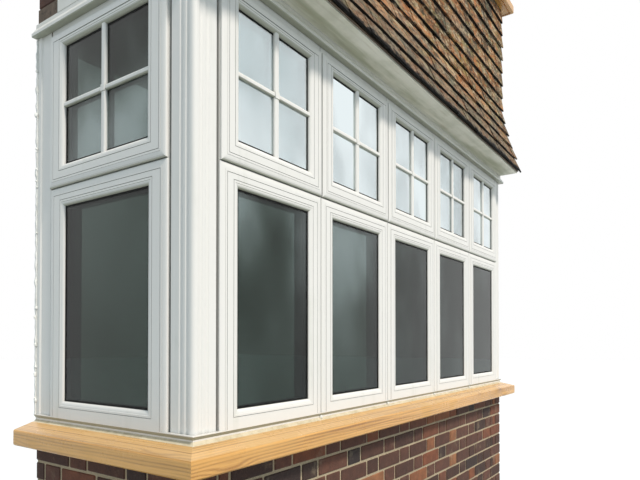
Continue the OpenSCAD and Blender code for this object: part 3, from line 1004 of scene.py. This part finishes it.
def wall_beads():
    """Ragged beads of sealant down the outer edges of the cover boards."""
    rnd = random.Random(3)
    batch = Batch()
    height = FRAME_TOP - FRAME_Z
    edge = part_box("wall_trim_left")[0].x
    width, setback, slices, lumps = 0.007, 0.004, 150, 16
    for side in (-1, 1):
        bm = box((width, width, height))
        middle = Vector((-side * edge, BACK_Y - setback, FRAME_Z + height / 2))
        bmesh.ops.translate(bm, vec=middle, verts=bm.verts)
        bmesh.ops.subdivide_edges(bm, edges=edges_along(bm, 2, height / 2), cuts=slices)
        for vert in bm.verts:
            wander = noise.noise(Vector((side * 9, 0, vert.co.z * 30)))
            vert.co.x += side * width * max(wander, -0.1) + rnd.uniform(-0.0008, 0.0008)
            vert.co.y += -0.002 * abs(wander)
        batch.add(to_mesh(bm), Matrix.Identity(4))
        for k in range(lumps):
            spot = moved(side * (rnd.uniform(0.001, 0.007) - edge), BACK_Y - rnd.uniform(0.006, 0.01),
                         FRAME_Z + rnd.uniform(0.02, height - 0.02))
            lump = blob(rnd.uniform(0.003, 0.0058), (1.2, 0.8, rnd.uniform(0.9, 2)), side * 20 + k)
            batch.add(lump, spot)
    return before_house(batch.bm)


def joint_blobs():
    """White dabs of sealant at the foot of the joints between the lights."""
    batch, radius, proud, height = Batch(), 0.008, 0.006, 0.011
    for k in range(1, FRONT_LIGHTS):
        joint_x = (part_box(f"front_frame_{k}")[1].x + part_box(f"front_frame_{k + 1}")[0].x) / 2
        lump = blob(radius, (1.0, 0.8, 1.15), 40 + k)
        batch.add(lump, moved(joint_x, FACE_Y - proud, STRIP_Z + height))
    return batch.bm


def sill_bead():
    """Cream bead of sealant in the corner between the sill and the strip over it."""
    hollow = [(-0.002, 0), (0.016, 0), (0.008, 0.004), (0.002, 0.011), (-0.002, 0.012)]
    stations, wave, sunk = 120, 0.0015, 0.001
    bm = around_the_bay(hollow, stations)
    for vert in bm.verts:
        if vert.co.z > sunk:
            vert.co.z += wave * noise.noise(Vector((vert.co.x * 23, vert.co.y * 23, 4)))
    bmesh.ops.translate(bm, vec=(0, 0, STRIP_Z - sunk), verts=bm.verts)
    return bm


# Operators

class BAY_OT_finishes(Operator):
    """Gives every node of the frame its painted, timber, plaster or glass finish"""
    bl_idname = "bay.finishes"
    bl_label = "Finishes"

    def execute(self, context):
        for part in frame["record"]["subparts"]:
            node, slot = part["node"], part["material_slot"]
            if slot == "golden_timber" and not node.endswith("front"):
                slot = "golden_timber_sides"
            if node.startswith("bed_mould"):
                slot = "stained_paint"
            data = frame["nodes"][node].data
            data.materials.clear()
            data.materials.append(finish_of(slot))
        return {"FINISHED"}


class BAY_OT_dwarf_wall(Operator):
    """Builds the dwarf wall in Flemish bond on a plastered core"""
    bl_idname = "bay.dwarf_wall"
    bl_label = "Dwarf wall"

    def execute(self, context):
        sizes = context.scene.bay_bricks
        walls = ("dwarf_wall_front", "dwarf_wall_left", "dwarf_wall_right")
        piece(dwarf_brickwork(sizes), "dwarf_wall_bricks", ["brick"], walls)
        core = wall_core(0, SILL_Z, sizes.recess, DWARF_T, sizes.recess)
        piece(core, "dwarf_wall_mortar", ["mortar", "plaster"], walls)
        leaf = wall_core(SILL_Z, LEAF_TOP, LEAF_BACK / 2 + DWARF_T / 4, DWARF_T, 0)
        piece(leaf, "dwarf_wall_inner_leaf", ["mortar", "plaster"], walls)
        return {"FINISHED"}


class BAY_OT_upper_wall(Operator):
    """Builds the brick cheeks over the returns and the wall behind the tiles"""
    bl_idname = "bay.upper_wall"
    bl_label = "Upper wall"

    def execute(self, context):
        sizes = context.scene.bay_bricks
        walls = ("apron_wall", "cheek_wall_left", "cheek_wall_right")
        piece(upper_brickwork(sizes), "cheek_bricks", ["brick"], walls)
        core = wall_core(UPPER_Z, UPPER_TOP, sizes.recess, UPPER_T, sizes.recess)
        piece(core, "upper_wall_mortar", ["mortar", "plaster"], walls)
        return {"FINISHED"}


class BAY_OT_tiles(Operator):
    """Hangs the clay tiles of the apron in broken bond over their boarded back"""
    bl_idname = "bay.tiles"
    bl_label = "Tiles"

    def execute(self, context):
        tiles = context.scene.bay_tiles
        piece(tile_courses(tiles), "apron_tiles", ["clay_tile"], ("tile_apron",))
        piece(tile_backing(tiles), "tile_backing", ["raw_timber"], ("tile_apron",))
        return {"FINISHED"}


class BAY_OT_glazing(Operator):
    """Fills the fixed lights and the sashes with sealed double-glazed units"""
    bl_idname = "bay.glazing"
    bl_label = "Glazing"

    def execute(self, context):
        glazing = context.scene.bay_glazing
        for level in ("lower", "upper"):
            node = f"{level}_glass"
            units = unit_places(node)
            sheets = panes(units, glazing, level == "upper")
            piece(sheets, f"{level}_panes", ["window_glass"], (node,))
            piece(spacers(units, glazing), f"{level}_spacers", ["spacer_metal"], (node,))
            piece(gaskets(units, glazing), f"{level}_gaskets", ["gasket_rubber"], (node,))
        return {"FINISHED"}


class BAY_OT_glazing_bars(Operator):
    """Adds the glazing bars of the upper sashes, outside and inside"""
    bl_idname = "bay.glazing_bars"
    bl_label = "Glazing bars"

    def execute(self, context):
        bars = glazing_bars(unit_places("upper_glass"), context.scene.bay_glazing)
        piece(bars, "glazing_bars", ["white_paint"])
        return {"FINISHED"}


class BAY_OT_sealant(Operator):
    """Adds the beads and dabs of sealant at the wall, the joints and the sill"""
    bl_idname = "bay.sealant"
    bl_label = "Sealant"

    def execute(self, context):
        piece(wall_beads(), "wall_sealant", ["white_sealant"])
        piece(joint_blobs(), "joint_sealant", ["white_sealant"])
        piece(sill_bead(), "sill_sealant", ["cream_sealant"])
        return {"FINISHED"}


# Stage

# The camera's place and turn, fitted to the frames' lines in the photograph
EYE = (-2.7074, -1.6407, 1.4527)
YAW = 55.3
PITCH = 0.72
SHIFT_Y = 0.146
SENSOR_WIDTH = 36
CLIP = (0.01, 200)
SUN_HEIGHT = 52
SUN_TURN = -8
SUN_SPREAD = 7
SUN_COLOUR = (1.0, 0.93, 0.85)
SKY_COLOUR = (0.74, 0.90, 1.0)
SKY_AT_HORIZON = 0.85
SKY_OVERHEAD = 1.1
FLOOR_REACH = 40


def add_camera(stage):
    data = bpy.data.cameras.new("camera")
    data.lens = stage.lens
    data.sensor_width = SENSOR_WIDTH
    data.shift_y = SHIFT_Y
    data.clip_start, data.clip_end = CLIP
    camera = stand("camera", data)
    camera.location = EYE
    camera.rotation_euler = (math.radians(90 + PITCH), 0, math.radians(-YAW))
    bpy.context.scene.camera = camera


def add_sky(stage):
    """Pale light, stronger from above, and plain white where the camera sees it."""
    world = bpy.data.worlds.new("sky")
    world.use_nodes = True
    nodes = Nodes(world.node_tree)
    upwards = nodes.axis("Z", nodes.value("TexCoord", "Generated"))
    strength = nodes.value("MapRange", "Result", {
        "Value": upwards, "To Min": SKY_AT_HORIZON * stage.sky, "To Max": SKY_OVERHEAD * stage.sky})
    light = nodes.value("Background", 0, {"Color": SKY_COLOUR, "Strength": strength})
    backdrop = nodes.value("Background", 0, {"Color": (1, 1, 1)})
    choice = nodes.value("MixShader", 0, {0: nodes.seen(), 1: light, 2: backdrop})
    nodes.put(world.node_tree.nodes["World Output"].inputs[0], choice)
    bpy.context.scene.world = world


def add_sun(stage):
    lamp = bpy.data.lights.new("sun", "SUN")
    lamp.energy = stage.sun
    lamp.angle = math.radians(SUN_SPREAD)
    lamp.color = SUN_COLOUR
    obj = stand("sun", lamp)
    obj.rotation_euler = (math.radians(90 - SUN_HEIGHT), 0, math.radians(SUN_TURN))


def add_floor():
    bm = bmesh.new()
    bmesh.ops.create_grid(bm, x_segments=1, y_segments=1, size=FLOOR_REACH)
    floor = stand("floor", to_mesh(bm, "floor"))
    floor.data.materials.append(floor_paint())


class BAY_OT_stage(Operator):
    """Sets up the camera, the plain floor and the soft light"""
    bl_idname = "bay.stage"
    bl_label = "Stage"

    def execute(self, context):
        stage = context.scene.bay_stage
        add_camera(stage)
        add_sky(stage)
        add_sun(stage)
        add_floor()
        context.scene.view_settings.view_transform = "Standard"
        return {"FINISHED"}


OPERATORS = (BAY_OT_stage, BAY_OT_finishes, BAY_OT_dwarf_wall, BAY_OT_upper_wall, BAY_OT_tiles,
             BAY_OT_glazing, BAY_OT_glazing_bars, BAY_OT_sealant)
SETTINGS = {"bay_bricks": BayBrickSettings, "bay_tiles": BayTileSettings,
            "bay_glazing": BayGlazingSettings, "bay_finishes": BayFinishSettings,
            "bay_stage": BayStageSettings}


class BAY_PT_panel(Panel):
    """Lists the sizes, the colours and the steps that build the bay's pieces"""
    bl_idname = "BAY_PT_panel"
    bl_label = "Bay Window"
    bl_space_type = "VIEW_3D"
    bl_region_type = "UI"
    bl_category = "Bay"

    def draw(self, context):
        for name, group in SETTINGS.items():
            column = self.layout.box()
            for key in group.__annotations__:
                column.prop(getattr(context.scene, name), key)
        for operator in OPERATORS:
            self.layout.operator(operator.bl_idname)


def register():
    for group in SETTINGS.values():
        bpy.utils.register_class(group)
    for operator in OPERATORS:
        bpy.utils.register_class(operator)
    bpy.utils.register_class(BAY_PT_panel)
    for name, group in SETTINGS.items():
        setattr(bpy.types.Scene, name, PointerProperty(type=group))


def unregister():
    for name in SETTINGS:
        delattr(bpy.types.Scene, name)
    bpy.utils.unregister_class(BAY_PT_panel)
    for operator in reversed(OPERATORS):
        bpy.utils.unregister_class(operator)
    for group in reversed(list(SETTINGS.values())):
        bpy.utils.unregister_class(group)


def main():
    register()
    for operator in OPERATORS:
        group, name = operator.bl_idname.split(".")
        getattr(getattr(bpy.ops, group), name)()


if __name__ == "__main__":
    main()
